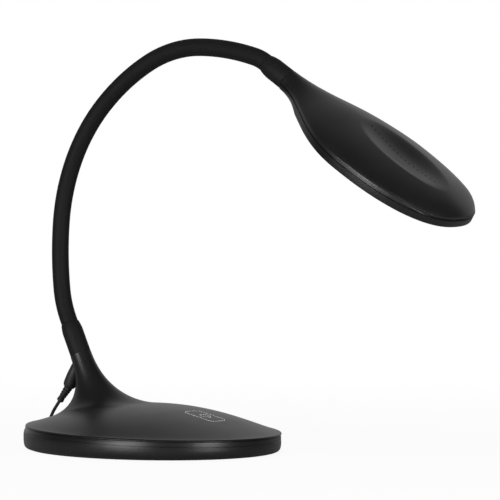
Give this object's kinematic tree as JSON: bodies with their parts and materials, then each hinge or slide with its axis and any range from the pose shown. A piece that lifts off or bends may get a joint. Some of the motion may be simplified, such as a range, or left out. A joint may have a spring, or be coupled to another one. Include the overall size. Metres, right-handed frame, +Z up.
{
  "type": "desk lamp",
  "caption": "Gooseneck desk lamp: oval domed base with a flared neck root, long bendable sleeved neck and a broad leaf-shaped LED head with a dished, vented top.",
  "frame": {"origin": "centre of the underside of the base, on the table", "axes": "+X forward from the base towards the lamp head, +Y to the left of the lamp, +Z up"},
  "size_m": [0.4384, 0.2413, 0.3504],
  "materials": {
    "ballast_iron": "rough cast",
    "black_ring": "satin",
    "black_shell": "satin, fine grain",
    "board_green": "solder mask",
    "board_white": "white solder mask",
    "collar_metal": "satin black paint",
    "cord_black": "matt",
    "core_steel": "wound flat steel",
    "led_yellow": "phosphor",
    "legend_ink": "printed, light grey",
    "opal": "opal, light-scattering",
    "pad_foam": "matt foam",
    "part_black": "moulded parts",
    "plug_metal": "nickel plated",
    "sleeve_rubber": "matt, smooth",
    "spring_brass": "bare",
    "steel": "plain zinc-plated",
    "tray_plastic": "fine grain",
    "wire_white": "insulation"
  },
  "bodies": {
    "base": {"base_cover": "black_shell", "base_tray": "tray_plastic", "ballast_weight": "ballast_iron", "anti_slip_pad": "pad_foam", "cover_screws": "steel", "ballast_screws": "steel", "touch_legend": "legend_ink", "touch_spring": "spring_brass", "control_board": "board_green", "board_parts": "part_black", "board_screws": "steel", "neck_nut": "steel", "lower_ferrule": "collar_metal", "base_lead": "wire_white", "supply_lead": "wire_white", "neck_sleeve_1": "sleeve_rubber", "neck_core_1": "core_steel", "neck_wires_1": "wire_white", "cord_boot": "cord_black", "strain_relief": "cord_black", "cord_run": "cord_black", "cord_coil": "cord_black", "cord_tie": "cord_black", "usb_grip": "cord_black", "usb_shell": "plug_metal"},
    "neck_2": {"neck_sleeve_2": "sleeve_rubber", "neck_core_2": "core_steel", "neck_wires_2": "wire_white"},
    "neck_3": {"neck_sleeve_3": "sleeve_rubber", "neck_core_3": "core_steel", "neck_wires_3": "wire_white"},
    "neck_4": {"neck_sleeve_4": "sleeve_rubber", "neck_core_4": "core_steel", "neck_wires_4": "wire_white"},
    "neck_5": {"neck_sleeve_5": "sleeve_rubber", "neck_core_5": "core_steel", "neck_wires_5": "wire_white"},
    "neck_6": {"neck_sleeve_6": "sleeve_rubber", "neck_core_6": "core_steel", "neck_wires_6": "wire_white"},
    "neck_7": {"neck_sleeve_7": "sleeve_rubber", "neck_core_7": "core_steel", "neck_wires_7": "wire_white"},
    "head": {"neck_sleeve_8": "sleeve_rubber", "neck_core_8": "core_steel", "neck_wires_8": "wire_white", "upper_ferrule": "collar_metal", "head_nut": "steel", "head_shell": "black_shell", "head_ring": "black_ring", "diffuser": "opal", "led_board": "board_white", "leds": "led_yellow", "led_screws": "steel", "ring_screws": "steel", "head_lead": "wire_white"}
  },
  "joints": [
    {"name": "bend_1", "type": "hinge", "parent": "base", "child": "neck_2", "pos_m": [-0.10184, 0, 0.13705], "axis": [0, 1, 0], "range_deg": [-20, 8]},
    {"name": "sway_1", "type": "hinge", "parent": "neck_2", "child": "neck_3", "pos_m": [-0.1026, 0, 0.19554], "axis": [0.9962, 0, -0.0872], "range_deg": [-25, 25]},
    {"name": "bend_2", "type": "hinge", "parent": "neck_3", "child": "neck_4", "pos_m": [-0.08727, 0, 0.25178], "axis": [0, 1, 0], "range_deg": [-26, 7]},
    {"name": "bend_3", "type": "hinge", "parent": "neck_4", "child": "neck_5", "pos_m": [-0.05282, 0, 0.29876], "axis": [0, 1, 0], "range_deg": [-26, 7]},
    {"name": "bend_4", "type": "hinge", "parent": "neck_5", "child": "neck_6", "pos_m": [-0.00457, 0, 0.33161], "axis": [0, 1, 0], "range_deg": [-26, 7]},
    {"name": "sway_2", "type": "hinge", "parent": "neck_6", "child": "neck_7", "pos_m": [0.05234, 0, 0.34267], "axis": [0.061, 0, 0.9981], "range_deg": [-25, 25]},
    {"name": "bend_5", "type": "hinge", "parent": "neck_7", "child": "head", "pos_m": [0.1097, 0, 0.33153], "axis": [0, 1, 0], "range_deg": [-26, 8]}
  ]
}
